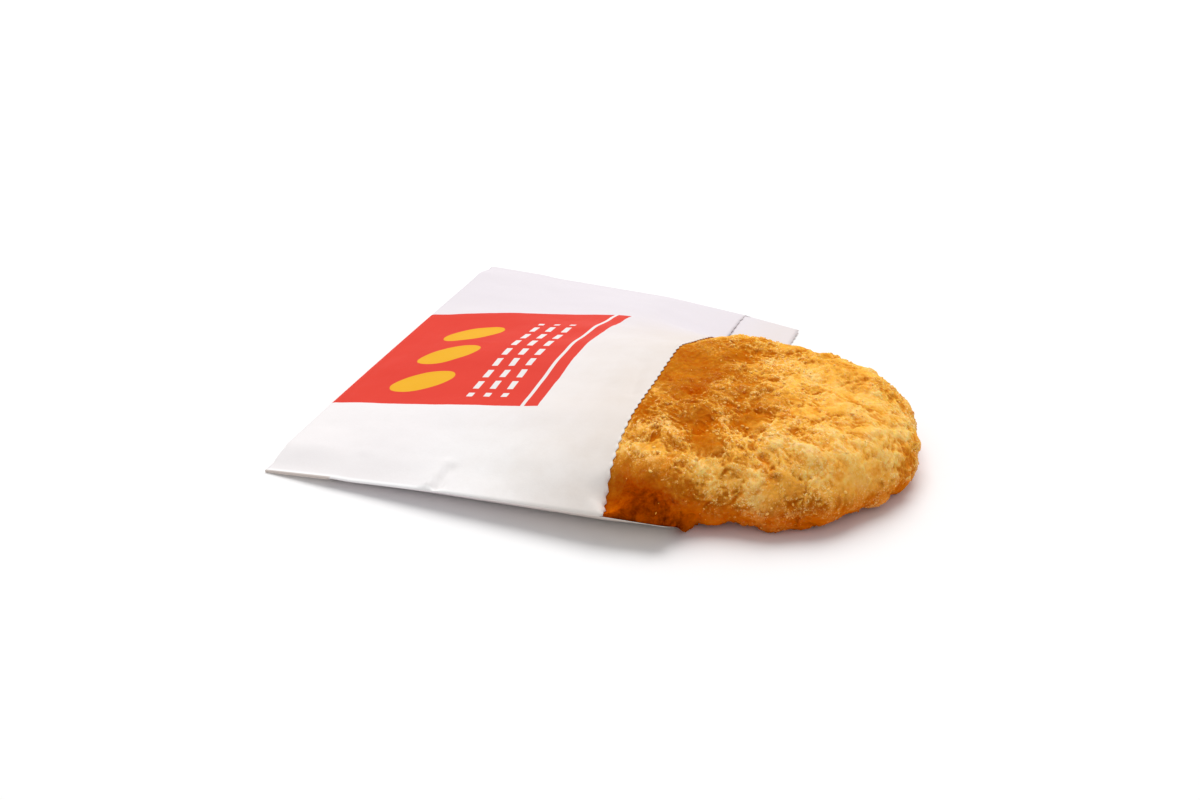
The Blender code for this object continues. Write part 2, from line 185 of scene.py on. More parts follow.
def bent_up(t):
    """Height share of a sheet that curves off the table at t = 0 and then runs straight up to t = 1."""
    t = np.clip(t, 0.0, 1.0)
    return np.where(t < BEND_ROUND, t * t / (2 * BEND_ROUND), t - BEND_ROUND / 2) / (1 - BEND_ROUND / 2)


def crease_height(s, v, crease):
    """A crease's share of the sheet's height at the flat place (s, v)."""
    s0, v0, s1, v1, width, height = crease
    along = Vector((s1 - s0, v1 - v0))
    t = (Vector((s - s0, v - v0)).dot(along)) / along.length_squared
    near = min(max(t, 0.0), 1.0)
    away = (Vector((s, v)) - Vector((s0, v0)) - along * near).length
    return height * math.exp(-(away / width) ** 2) * (1 - CREASE_FALL * near)


def curl_height(s, v):
    """The front's near corner curls down past a curved line beside the cut."""
    across = (v - CURL_SPAN[0]) / (CURL_SPAN[1] - CURL_SPAN[0])
    if not 0 < across < 1:
        return 0.0
    line = FRONT_LENGTH + FRONT_SKEW - CURL_REACH * math.sin(math.pi * across)
    dent = CURL_DENT[0] * math.exp(-((s - line) / CURL_DENT[1]) ** 2) * math.sin(math.pi * across)
    return -CURL_SLOPE * max(s - line, 0.0) - dent


class Drape:
    """The two sheets of the sleeve as tables over distance from the closed end and share of width."""

    def __init__(self, settings):
        self.paper = settings.paper
        self.pair = 2 * self.paper + PLY_GAP  # from the back's underside to the front's outer face
        self.s = np.arange(0.0, BACK_LENGTH + SPARE_LENGTH, TABLE_PITCH)
        self.q = np.linspace(0.0, 1.0, SECTION_SAMPLES)
        self.step = FLAP_STEP * (1.0 - smooth_step((self.s - FLAP_LENGTH) / FLAP_RELAX))
        self.front = self.front_table()
        self.front[:, :, 2] += settings.crumple * self.wrinkles()
        self.back = self.back_table()
        self.cut = FRONT_LENGTH + FRONT_SKEW * (1 - 2 * self.q)
        self.mouth = np.array([self.at(self.front, s, q) for s, q in zip(self.cut, self.q)])

    def section_between_folds(self, station, inner):
        """A front section closed at both side folds, whose two walls lie on each other there."""
        near_y, near_z = fold_at(NEAR_FOLD, station)
        far_y, far_z = fold_at(FAR_FOLD, station)
        return even_section([(near_y, near_z + self.pair), *inner, (far_y, far_z + self.pair)])

    def front_table(self):
        base = self.pair + FLAP_STEP
        rise = base + HEEL_LIFT * smooth_step(np.minimum(self.q, 1 - self.q) * SLEEVE_WIDTH / HEEL_CORNER)
        closed = np.column_stack([self.q * SLEEVE_WIDTH, rise])
        middle = self.section_between_folds(MIDDLE_STATION, MIDDLE_SECTION)
        mouth = self.section_between_folds(MOUTH_STATION, MOUTH_SECTION)
        rows = []
        for s in self.s:
            if s < MIDDLE_STATION:
                row = closed + (middle - closed) * (s / MIDDLE_STATION)
            else:
                row = middle + (mouth - middle) * ((s - MIDDLE_STATION) / (MOUTH_STATION - MIDDLE_STATION))
            rows.append(row)
        yz = soften(np.array(rows), SOFTEN_ALONG)
        for fold, share in ((NEAR_FOLD, self.q), (FAR_FOLD, 1 - self.q)):
            end = 0 if fold is NEAR_FOLD else -1
            fold_y, fold_z = fold_at(fold, self.s)
            off = np.column_stack([fold_y, fold_z + self.step + self.pair]) - yz[:, end]
            yz = yz + off[:, None] * np.clip(1 - share / FOLD_BLEND, 0, 1)[:, None]
        turn = np.clip(1 - self.s / HEEL_ROUND, 0, 1)
        heel = np.sqrt(1 - turn ** 2)[:, None]
        yz[:, :, 1] = base + (yz[:, :, 1] - base) * heel
        step = np.diff(yz, axis=0)
        run = np.sqrt(np.maximum(TABLE_PITCH ** 2 - (step ** 2).sum(2), (LEAST_RUN * TABLE_PITCH) ** 2))
        x = np.concatenate([np.zeros((1, SECTION_SAMPLES)), np.cumsum(run, axis=0)])
        return np.dstack([x, yz])

    def back_table(self):
        near_y, near_z = fold_at(NEAR_FOLD, self.s)
        far_y, far_z = fold_at(FAR_FOLD, self.s)
        y = near_y[:, None] + (far_y - near_y)[:, None] * self.q
        reach = NEAR_BEND_LEAST + NEAR_BEND * self.s
        up_near = bent_up(1 - (y - near_y[:, None]) / reach[:, None])
        up_far = bent_up(1 - (far_y[:, None] - y) / FAR_BEND)
        z = near_z[:, None] * up_near + far_z[:, None] * up_far
        z = np.maximum(z + self.step[:, None], FLOOR_GAP)
        x = np.repeat(self.s[:, None], SECTION_SAMPLES, 1)
        return np.dstack([x, y, z])

    def wrinkles(self):
        """Heights of the front sheet's waves and creases over the table."""
        heights = np.zeros((len(self.s), SECTION_SAMPLES))
        for i, s in enumerate(self.s):
            for j, q in enumerate(self.q):
                v = q * SLEEVE_WIDTH
                fade = ease(min(v, SLEEVE_WIDTH - v, s), 0.0, WAVE_FADE)
                fade *= 1 - (1 - WAVE_LEFT) * ease(s, *WAVE_END)
                wave = sum(noise.noise(Vector((s / along, v / across, place))) * height
                           for along, across, height, place in WAVES) if fade else 0.0
                heights[i, j] = (wave * fade + sum(crease_height(s, v, c) for c in CREASES)
                                 + curl_height(s, v))
        edge = smooth_step(np.minimum(self.q, 1 - self.q) * SLEEVE_WIDTH / WRINKLE_EDGE)
        return heights * edge[None, :]

    def row_at(self, s):
        """Where the distance s falls between the tables' rows, short of the last one."""
        return min(max(s / TABLE_PITCH, 0.0), len(self.s) - LAST_ROW)

    def at(self, table, s, q):
        """A point of one sheet, read between the table's rows and columns."""
        i = self.row_at(s)
        j = min(max(q, 0.0), LAST_SHARE) * (SECTION_SAMPLES - 1)
        i0, j0 = int(i), int(j)
        a, b = i - i0, j - j0
        low = table[i0, j0] * (1 - b) + table[i0, j0 + 1] * b
        high = table[i0 + 1, j0] * (1 - b) + table[i0 + 1, j0 + 1] * b
        return Vector(low * (1 - a) + high * a)

    def row_height(self, table, s, y):
        """Height of one sheet above a point of the table, at the distance s along it."""
        i = self.row_at(s)
        low, high = (np.interp(y, row[:, 1], row[:, 2]) for row in table[int(i):int(i) + 2])
        return float(low + (high - low) * (i - int(i)))

    def front_height(self, x, y):
        """Height of the front sheet's outer face, and how far past the front's cut the point lies."""
        end = float(np.interp(y, self.mouth[:, 1], self.mouth[:, 0]))
        s = x * float(np.interp(y, self.mouth[:, 1], self.cut)) / end
        return self.row_height(self.front, min(s, self.cut[0]), y), max(x - end, 0.0)

    def back_height(self, x, y):
        """Height of the back sheet's underside above a point of the table."""
        return self.row_height(self.back, x, y)


# ---- material writing
def linear(colour):
    """A colour given as 0 to 255 sRGB, in the linear values that Blender's shaders use."""
    return (*(c / 255 / 12.92 if c / 255 <= 0.04045 else ((c / 255 + 0.055) / 1.055) ** 2.4
              for c in colour), 1.0)


def maths_method(operation, swap=False):
    """A method that adds one maths node to the field's own finish."""
    def method(self, *others):
        values = (self, *others)
        return self.finish.maths(operation, *(values[::-1] if swap else values))
    return method


class Field:
    """A number that changes over a surface, so that shader maths reads as plain Python."""

    def __init__(self, finish, socket):
        self.finish = finish
        self.socket = socket

    __add__ = __radd__ = maths_method("ADD")
    __sub__, __rsub__ = maths_method("SUBTRACT"), maths_method("SUBTRACT", swap=True)
    __mul__ = __rmul__ = maths_method("MULTIPLY")
    __truediv__ = maths_method("DIVIDE")
    __abs__ = maths_method("ABSOLUTE")


class Finish:
    """One material's nodes, with short calls for the ones that a surface is made of."""

    def __init__(self, name):
        self.material = bpy.data.materials.new(name)
        self.material.use_nodes = True
        self.tree = self.material.node_tree
        self.tree.nodes.clear()

    def node(self, kind, settings=None, inputs=None):
        """Adds a node: its settings come first, then the values or links of its sockets."""
        node = self.tree.nodes.new(kind)
        for key, value in (settings or {}).items():
            setattr(node, key, value)
        for key, value in (inputs or {}).items():
            socket = value.socket if isinstance(value, Field) else value
            if isinstance(socket, bpy.types.NodeSocket):
                self.tree.links.new(socket, node.inputs[key])
            else:
                node.inputs[key].default_value = socket
        return node

    def field(self, node, output=0):
        return Field(self, node.outputs[output])

    def maths(self, operation, *values, clamp=False):
        node = self.node("ShaderNodeMath", {"operation": operation, "use_clamp": clamp},
                         dict(enumerate(values)))
        return self.field(node)

    def greater(self, a, b):
        return self.maths("MAXIMUM", a, b)

    def held(self, value):
        """A value kept from 0 to 1."""
        return self.maths("ADD", value, 0.0, clamp=True)

    def between(self, value, low, high):
        """0 below low, 1 above high, and an eased rise from one to the other."""
        flip = low > high
        node = self.node("ShaderNodeMapRange", {"interpolation_type": "SMOOTHSTEP"},
                         {"Value": value, "From Min": min(low, high), "From Max": max(low, high),
                          "To Min": float(flip), "To Max": float(not flip)})
        return self.field(node)

    def place(self):
        return self.node("ShaderNodeTexCoord").outputs["Object"]

    def stretched(self, place, scale, turn=(0.0, 0.0, 0.0)):
        return self.node("ShaderNodeMapping", None,
                         {"Vector": place, "Scale": scale, "Rotation": turn}).outputs[0]

    def grain(self, place, size, detail=2.0, roughness=0.5, distortion=0.0):
        """Cloudy noise from 0 to 1 whose lumps are about the given size."""
        return self.field(self.node("ShaderNodeTexNoise", None,
                                    {"Vector": place, "Scale": 1 / size, "Detail": detail,
                                     "Roughness": roughness, "Distortion": distortion}))

    def attribute(self, name):
        return self.node("ShaderNodeAttribute", {"attribute_name": name})

    def parts(self, vector):
        node = self.node("ShaderNodeSeparateXYZ", None, {0: vector})
        return [self.field(node, k) for k in range(3)]

    def blend(self, colour, *layers):
        """A colour with others laid over it in turn, each by its share."""
        for share, over in layers:
            colour = self.node("ShaderNodeMix", {"data_type": "RGBA"},
                               {0: share, 6: colour, 7: over}).outputs[2]
        return colour

    def ramp(self, value, places, colours):
        """Colours at places from 0 to 1, with a straight change from each to the next."""
        node = self.node("ShaderNodeValToRGB", None, {0: value})
        elements = node.color_ramp.elements
        while len(elements) < len(places):
            elements.new(0.5)
        for element, place, colour in zip(elements, places, colours):
            element.position, element.color = place, colour
        return node.outputs[0]

    def bumped(self, height, distance, strength):
        return self.node("ShaderNodeBump", None,
                         {"Height": height, "Distance": distance, "Strength": strength}).outputs[0]

    def surface(self, **sockets):
        """The shader itself: a socket's name is written with _ for each space."""
        shader = self.node("ShaderNodeBsdfPrincipled", None,
                           {key.replace("_", " "): value for key, value in sockets.items()})
        self.node("ShaderNodeOutputMaterial", None, {"Surface": shader.outputs[0]})
        return self.material


# ---- settings
def colour_setting(name, text, rgb):
    return bpy.props.FloatVectorProperty(name=name, description=text, subtype="COLOR", size=4, min=0, max=1,
                                         default=linear(rgb))


def number_setting(name, text, value, **more):
    return bpy.props.FloatProperty(name=name, description=text, default=value, **more)


def length_setting(name, text, length):
    return number_setting(name, text, length, unit="LENGTH", precision=5)


def angle_setting(name, text, degrees):
    return number_setting(name, text, math.radians(degrees), subtype="ANGLE")


class SleeveSettings(bpy.types.PropertyGroup):
    """The paper sleeve."""
    paper: length_setting("Paper", "Thickness of the sleeve's paper", 0.08 * MM)
    crumple: number_setting("Crumple", "How uneven the front sheet is", 1.0, subtype="FACTOR", min=0, max=2)
    tooth: length_setting("Tooth", "Depth of the zigzag cut at the mouth", 0.45 * MM)
    paper_colour: colour_setting("Paper colour", "Bleached paper", (242, 235, 233))
    # Painted shade: a duller tone towards the far fold and on the back sheet
    far_shade_colour: colour_setting("Far colour", "Its duller tone towards the far fold", (228, 219, 222))
    # Painted light: lifts the near slope towards the mouth and draws a highlight along the near fold
    near_light_colour: colour_setting("Edge colour", "Its lightest tone, along the near fold", (255, 251, 249))
    # Colour of the real oil stain, and also of the patty's painted reflection on the lip
    grease_and_reflection_colour: colour_setting("Greased colour", "Paper that has taken up frying oil", (226, 212, 200))
    field_colour: colour_setting("Field colour", "Printed field", (224, 58, 40))
    leaf_colour: colour_setting("Leaf colour", "Printed ovals", (236, 172, 22))
    dash_colour: colour_setting("Dash colour", "Printed dashes", (234, 226, 222))
    # Painted highlight along the cut edge at the mouth
    rim_highlight_colour: colour_setting("Lit edge colour", "The cut edge at the mouth", (255, 250, 242))
    # Painted shade: a darker line along the near fold over the flap's length
    flap_edge_shade_colour: colour_setting("Crease colour", "The near fold by the closed end", (206, 182, 164))
    fibre_colour: colour_setting("Fibre colour", "Fibres in the paper", (214, 206, 204))
    deep_ink_colour: colour_setting("Deep ink colour", "Where the field's ink is thick", (214, 46, 34))
    thin_ink_colour: colour_setting("Thin ink colour", "Where fibres show through it", (228, 88, 70))


class PattySettings(bpy.types.PropertyGroup):
    """The fried patty."""
    lumps: length_setting("Lumps", "Height of the lumps of potato under the crust", 0.9 * MM)
    shreds: length_setting("Shreds", "Height of the potato shreds in the crust", 0.4 * MM)
    grains: length_setting("Grains", "Height of the crisp grains", 0.24 * MM)
    crumbs: bpy.props.IntProperty(name="Crumbs", description="Crisp grains that stand on the crust",
                                  default=1000, min=0)
    # Painted highlight: pale specks laid in as glints on the grains
    painted_glint: colour_setting("Glint", "The palest, driest grains", (255, 228, 174))
    # Also the colour of the painted highlights on the crust's crests, shreds and glint spots
    pale: colour_setting("Pale potato", "Potato that has hardly browned", (255, 202, 112))
    gold: colour_setting("Gold", "Lightly fried crust", (248, 174, 66))
    amber: colour_setting("Amber", "Fried crust", (192, 112, 22))
    brown: colour_setting("Brown", "Well fried crust", (176, 70, 0))
    dark: colour_setting("Dark", "Crust that has caught", (92, 20, 0))
    orange: colour_setting("Orange", "Patches of the crust", (224, 128, 16))
    low_orange: colour_setting("Low orange", "The crust near the table", (220, 104, 0))
    # Painted shade: the orange of the crust's hollows in shade
    hollow_shade_colour: colour_setting("Hollow orange", "The crust's hollows", (206, 104, 4))


class StudioSettings(bpy.types.PropertyGroup):
    """The floor, the lights and the camera."""
    floor_colour: colour_setting("Floor", "Floor and backdrop", (249, 246, 244))
    cloud_colour: colour_setting("Floor clouds", "The floor's faint unevenness", (246, 246, 247))
    key: number_setting("Key", "Power of the large soft light", 25.2, unit="POWER")
    sky: number_setting("Sky", "Strength of the light from all round", 0.52)
    azimuth: angle_setting("Azimuth", "Which way the camera looks, from +Y", -21.04)
    elevation: angle_setting("Elevation", "How far down the camera looks", 29.36)
    roll: angle_setting("Roll", "Turn of the camera about its own axis", 0.21)
    distance: length_setting("Distance", "From the camera to what it aims at", 319.35 * MM)
    lens: number_setting("Lens", "Focal length", 42.0, unit="CAMERA")


# ---- finishes
FLAT_LAYER = "flat_mm"
CRUST_LAYERS = ("crust_brown", "crust_rise", "crust_bare")

# Places on the flat sheet, in millimetres: s from the closed end, below zero on the flap, and v from the
# near fold. A pair is where a change starts and where it is complete.
FIELD_START, FIELD_END = -9.0, 52.2
FIELD_NEAR, FIELD_FAR, FIELD_FLARE = 26.7, 75.0, 0.204
FIELD_LINE = (48.6, 0.45, 0.05)  # a line inside the field's straight edge: place, half-width, softness
INK_SOFT = 0.06  # half-width of a printed shape's edge
INK_BLEED = (1.4, 0.16)  # size and reach of the ink's uneven edge
OVALS = ((19.0, 37.5), (19.0, 51.0), (19.0, 64.5))
OVAL_HALF = (7.6, 4.1)
OVAL_TURN = math.radians(28)
OVAL_SOFT = 0.03
DASH_ROWS = (34.0, 38.2, 42.4)
DASH_HALF = (0.75, 1.7)
DASH_PITCH = 5.2
DASH_SPAN = (31.0, 72.0)
PRINT_END = 0.1  # softness of the ends of the print
STAIN_S, STAIN_V, LIP_REFLECTION_S = (30.0, 78.0), (98.0, 66.0), (70.0, 84.0)  # oil over the patty, and the patty's painted reflection on the lip
RIM_HIGHLIGHT_S, RIM_HIGHLIGHT_V = (73.5, 73.9), (84.0, 70.0)  # painted highlight along the cut edge of the front sheet
FOLD_LINE_V, FOLD_LINE_S = (0.5, 0.2), (15.6, 15.0)  # painted shade along the near fold, where the flap's doubled edge lies
FAR_V, FAR_UNEVEN, INNER_DULL = (40.0, 92.0), 12.0, 0.9  # painted shade towards the far fold, its uneven edge, and the same shade at this share on the whole back sheet
NEAR_V, NEAR_S, NEAR_EDGE_V = (26.0, 8.0), (22.0, 56.0), (1.3, 0.5)  # painted light on the near slope towards the mouth, and a painted highlight along the near fold
FIBRE_SIZE, FLECK_SIZE, PAPER_CLOUD, RIPPLE_SIZE = 0.5 * MM, 2.6 * MM, 11 * MM, 1.7 * MM
FIBRE_RUN = (1.0, 2.5, 1.0)  # the fibres are drawn out across the sheet
PAPER_RELIEF, PAPER_BUMP = 0.06 * MM, 0.7


def within(f, value, half, soft):
    """1 where a distance is less than the half-width, with a soft edge."""
    return f.between(value, half + soft, half - soft)


def oval_mask(f, s, v, centre):
    """A soft-edged oval at a place of the flat sheet."""
    c, t = math.cos(OVAL_TURN), math.sin(OVAL_TURN)
    along = ((s - centre[0]) * c + (v - centre[1]) * t) / OVAL_HALF[0]
    across = ((v - centre[1]) * c - (s - centre[0]) * t) / OVAL_HALF[1]
    return within(f, along * along + across * across, 1.0, OVAL_SOFT)


def dash_mask(f, s, v, row):
    """A row of short dashes across the field."""
    low, high = DASH_SPAN
    step = f.maths("PINGPONG", v - low, DASH_PITCH / 2)
    length = within(f, step, DASH_HALF[1], INK_SOFT)
    width = within(f, abs(s - row), DASH_HALF[0], INK_SOFT)
    return length * width * (f.between(v, low - PRINT_END, low) * f.between(v, high + PRINT_END, high))


def printed(f, settings, s, v, flat, cloud, fibre):
    """The print's ink, and where it covers the flat sheet."""
    size, reach = INK_BLEED
    edge = (f.grain(flat, size) - 0.5) * reach
    field = (f.between(s + edge, FIELD_START, FIELD_START + PRINT_END)
             * within(f, s + edge, FIELD_END, INK_SOFT)
             * f.between(v + edge, FIELD_NEAR - INK_SOFT, FIELD_NEAR + INK_SOFT)
             * within(f, v - s * FIELD_FLARE + edge, FIELD_FAR, INK_SOFT))
    ink = f.blend(settings.field_colour, (f.held((cloud - 0.35) * 0.8), settings.deep_ink_colour),
                  (f.held((fibre - 0.5) * 0.5), settings.thin_ink_colour),
                  *((oval_mask(f, s + edge, v + edge, centre), settings.leaf_colour) for centre in OVALS))
    line, half, soft = FIELD_LINE
    marks = within(f, abs(s - line), half, soft)
    for row in DASH_ROWS:
        marks = f.greater(marks, dash_mask(f, s + edge, v + edge, row))
    return f.blend(ink, (marks, settings.dash_colour)), field


def sleeve_finish(name, settings, has_print):
    """Thin bleached paper, with its oil, painted light on its near side, painted shade towards its far fold
    and along the flap's edge, painted highlights along the near fold and the cut, a painted reflection of
    the patty on the lip and, on the outside, its print.
    """
    f = Finish(name)
    place = f.place()
    flat = f.attribute(FLAT_LAYER).outputs["Vector"]
    s, v, front = f.parts(flat)
    fibre = f.grain(f.stretched(place, FIBRE_RUN), FIBRE_SIZE, 4.0, 0.65)
    cloud = f.grain(place, PAPER_CLOUD, 3.0, 0.55)
    fleck = f.grain(place, FLECK_SIZE, 3.0, 0.6)
    near_patty = f.between(s, *STAIN_S) * f.between(v, *STAIN_V)
    # The patty's painted reflection on the lip, laid in with the oil stain
    lip = f.between(s, *LIP_REFLECTION_S)
    grease_and_reflection = f.held((near_patty * 0.75 + lip * 0.35) * (0.55 + 0.9 * cloud) + (fleck - 0.5) * 0.2)
    # Painted highlight along the cut edge at the mouth
    rim = f.between(s, *RIM_HIGHLIGHT_S) * f.between(v, *RIM_HIGHLIGHT_V) * front
    # Painted shade of the flap's doubled edge along the near fold
    flap_edge_shade = f.between(v, *FOLD_LINE_V) * f.between(abs(s), *FOLD_LINE_S)
    # Painted shade towards the far fold, and on the back sheet
    far = f.between(v + (cloud - 0.5) * FAR_UNEVEN, *FAR_V) * front + (1.0 - front) * INNER_DULL
    # Painted light on the near slope towards the mouth, and a painted highlight along the near fold
    near = f.between(v, *NEAR_V) * f.between(s, *NEAR_S)
    colour = f.blend(settings.paper_colour, (f.held(far), settings.far_shade_colour),
                     (f.greater(near, f.between(v, *NEAR_EDGE_V)) * front, settings.near_light_colour),
                     (grease_and_reflection, settings.grease_and_reflection_colour), (rim * 0.5, settings.rim_highlight_colour),
                     (flap_edge_shade * 0.6, settings.flap_edge_shade_colour),
                     (f.held((fibre - 0.42) * 0.35), settings.fibre_colour))
    if has_print:
        ink, field = printed(f, settings, s, v, flat, cloud, fibre)
        colour = f.blend(colour, (field * f.between(front, 0.4, 0.6), ink))
    rough = 0.62 - 0.16 * grease_and_reflection + 0.1 * (fibre - 0.5)
    relief = fibre * 0.35 + f.grain(place, RIPPLE_SIZE, 3.0) * 0.8 + fleck * 0.6
    return f.surface(Base_Color=colour, Roughness=rough, Normal=f.bumped(relief, PAPER_RELIEF, PAPER_BUMP),
                     IOR=1.45, Specular_IOR_Level=0.2)


# Sizes of the crust's changes of tone.
BROAD, PATCH, SPECK, FINE, GRANULE = 11 * MM, 3.8 * MM, 0.9 * MM, 0.35 * MM, 0.55 * MM
ORANGE_SIZE, ORANGE_TURN = 5.0 * MM, (0.4, 0.2, 0.9)
WISP_SIZE, WISP_AREA = 2.4 * MM, 8 * MM
TONE_STOPS = (0.0, 0.24, 0.5, 0.78, 1.0)  # from pale to dark
RIM_UNEVEN = 12 * MM
RIM_GLOW = (9.5 * MM, 3 * MM)  # heights between which the crust turns orange towards the table
CRUST_RELIEF, CRUST_BUMP = 0.18 * MM, 0.8
SOFT_SHARE, SOFT_REACH, SOFT_COLOUR = 0.45, 1.5 * MM, (1.0, 0.45, 0.08)


def crust_finish(name, settings, soft=True):
    """Fried potato: browned by place and chunk, laid lighter on its crests and darker low down as painted
    light and shade, with painted glints and painted orange shade in its hollows.
    """
    f = Finish(name)
    place = f.place()
    brown, rise, bare = (f.field(f.attribute(layer), "Fac") for layer in CRUST_LAYERS)
    broad = f.grain(place, BROAD, 2.0, 0.5, 0.6)
    patch = f.grain(place, PATCH, 3.0, 0.6, 1.2)
    speck = f.grain(place, SPECK, 3.0, 0.65, 0.8)
    fine = f.grain(place, FINE, 3.0, 0.7)
    granule = f.node("ShaderNodeTexVoronoi", {"feature": "F1"}, {"Vector": place, "Scale": 1 / GRANULE})
    granule_tone = f.parts(granule.outputs["Color"])[0]
    grainy = 1.0 - bare
    # Raised crust laid paler and low crust darker: painted light and shade
    tone = (brown + (broad - 0.5) * 0.3 + (patch - 0.5) * 0.4 + (speck - 0.5) * (0.22 + 0.3 * grainy)
            + (granule_tone - 0.5) * grainy * 0.16 - rise * 0.2 - bare * 0.04)
    tones = (settings.pale, settings.gold, settings.amber, settings.brown, settings.dark)
    orange = f.between(f.grain(f.stretched(place, (1, 1, 1), ORANGE_TURN), ORANGE_SIZE, 2.0, 0.6, 0.9),
                       0.54, 0.7)
    height = f.parts(place)[2] + (patch - 0.5) * RIM_UNEVEN + (speck - 0.5) * 0.3 * RIM_UNEVEN
    low = f.between(height, *RIM_GLOW) * f.between(brown, 1.0, 0.85)
    # Painted shade: the hollows laid orange
    shaded_hollow = f.between(rise, -0.05, -0.6) * f.between(brown, 0.75, 0.5)
    thread = f.grain(place, WISP_SIZE, 1.5, 0.5, 1.8)
    where = f.between(f.grain(place, WISP_AREA), 0.42, 0.6)
    wisp = f.between(abs(thread - 0.5), 0.03, 0.006) * where * f.between(fine, 0.3, 0.55) * grainy
    # Painted glints: pale specks on grainy crests
    glint_spots = (f.between(fine + (speck - 0.5) * 0.7, 0.53, 0.62)
               * f.between(rise + (speck - 0.5), -0.1, 0.3) * grainy)
    raised = rise + (fine - 0.5) * 0.9
    # Painted highlight: crests, shreds and glint spots laid paler
    light = f.held(wisp * 0.5 + glint_spots * 0.9 + f.between(raised, 0.35, 1.0) * 0.35)
    # Share of less brown crust, which takes the painted highlights and the coat
    less_brown = f.between(brown, 0.74, 0.4) * 0.85 + f.between(brown, 1.0, 0.6) * 0.15
    colour = f.blend(f.ramp(tone, TONE_STOPS, tones),
                     (orange * 0.55 * f.between(brown, 0.8, 0.5), settings.orange),
                     (low * 0.65, settings.low_orange), (shaded_hollow * 0.4, settings.hollow_shade_colour),
                     (light * less_brown, settings.pale),
                     (glint_spots * less_brown * f.between(fine, 0.57, 0.67) * 0.85, settings.painted_glint))
    rough = 0.5 - 0.2 * f.between(speck, 0.45, 0.7) + 0.14 * (patch - 0.5)
    relief = (speck * (0.3 + 0.7 * grainy) + fine * (0.15 + 0.45 * grainy)
              - f.field(granule, "Distance") * grainy * 0.5 + wisp * 0.3)
    oil = f.held(f.between(raised, 0.5, 0.9) * 0.45) * less_brown if soft else 0.0
    return f.surface(Base_Color=colour, Roughness=rough, Normal=f.bumped(relief, CRUST_RELIEF, CRUST_BUMP),
                     IOR=1.47, Specular_IOR_Level=0.0, Coat_Weight=oil, Coat_Roughness=0.22,
                     Subsurface_Weight=SOFT_SHARE if soft else 0.0, Subsurface_Scale=SOFT_REACH,
                     Subsurface_Radius=SOFT_COLOUR)


def floor_finish(settings):
    """A pale matt floor, with faint clouds in it."""
    f = Finish("studio_floor")
    cloud = f.grain(f.place(), FLOOR_CLOUD)
    colour = f.blend(settings.floor_colour, (f.held((cloud - 0.4) * 0.1), settings.cloud_colour))
    return f.surface(Base_Color=colour, Roughness=0.9, Specular_IOR_Level=0.0)


# ---- building
def add_object(name, data):
    obj = bpy.data.objects.new(name, data)
    bpy.context.scene.collection.objects.link(obj)
    return obj


def show(bm, name, *materials, shift=CORNER):
    """Turns a finished bmesh into an object, moved from the sleeve's frame into the part's."""
    bmesh.ops.translate(bm, verts=bm.verts, vec=shift)
    mesh = bpy.data.meshes.new(name)
    bm.to_mesh(mesh)
    bm.free()
    mesh.shade_smooth()
    for material in materials:
        mesh.materials.append(material)
    return add_object(name, mesh)


def edges_along(bm, axis):
    """Edges that run along one axis of a unit box."""
    return [e for e in bm.edges
            if abs(abs((e.verts[1].co - e.verts[0].co).normalized()[axis]) - 1) < ALIGNED]


def unit_box(rows):
    """A box from 0 to 1 on each axis, cut into the sleeve's columns along Y and into rows along X."""
    bm = bmesh.new()
    bmesh.ops.create_cube(bm, size=1.0)
    bmesh.ops.translate(bm, verts=bm.verts, vec=(0.5, 0.5, 0.5))
    for axis, count in ((1, SLEEVE_COLUMNS), (0, rows)):
        bmesh.ops.subdivide_edges(bm, edges=edges_along(bm, axis), cuts=count - 1, use_grid_fill=True)
    return bm


def unit_sleeve():
    """The sleeve's outer skin on a unit box: X 0 to 1 is closed end to mouth, Z picks the sheet.

    Its elements are put in order at the end, because theirs can change from run to run."""
    bm = unit_box(SLEEVE_ROWS)
    mouth = [f for f in bm.faces if all(v.co.x > 1 - SAME for v in f.verts)]
    bmesh.ops.delete(bm, geom=mouth, context="FACES")
    step = (BACK_LENGTH / FRONT_LENGTH - 1.0) / LIP_ROWS
    edges = [e for e in bm.edges if all(v.co.x > 1 - SAME and v.co.z < 0.5 for v in e.verts)]
    for _ in range(LIP_ROWS):
        out = bmesh.ops.extrude_edge_only(bm, edges=edges)["geom"]
        verts = [g for g in out if isinstance(g, bmesh.types.BMVert)]
        bmesh.ops.translate(bm, verts=verts, vec=(step, 0, 0))
        edges = [g for g in out if isinstance(g, bmesh.types.BMEdge) and all(v in verts for v in g.verts)]
    bm.verts.sort(key=lambda v: v.co.dot(ORDER))
    for elements in (bm.edges, bm.faces):
        elements.sort(key=lambda e: sum(v.co.dot(ORDER) for v in e.verts) / len(e.verts))
    return bm


def packed_rows(u):
    """Draws the even rows of the unit sleeve together at the closed fold."""
    return u - FOLD_PACKING * math.sin(math.pi * min(u, 1.0)) / math.pi * (1 - min(u, 1.0))


def tooth_at(q, depth):
    """Offset of a toothed rim at a share of its width."""
    turn = (q * TEETH) % 1.0
    return depth * (abs(turn - 0.5) * 2 - 0.5) * (1 - BLUNT_SHARE * ease(q, *BLUNT))


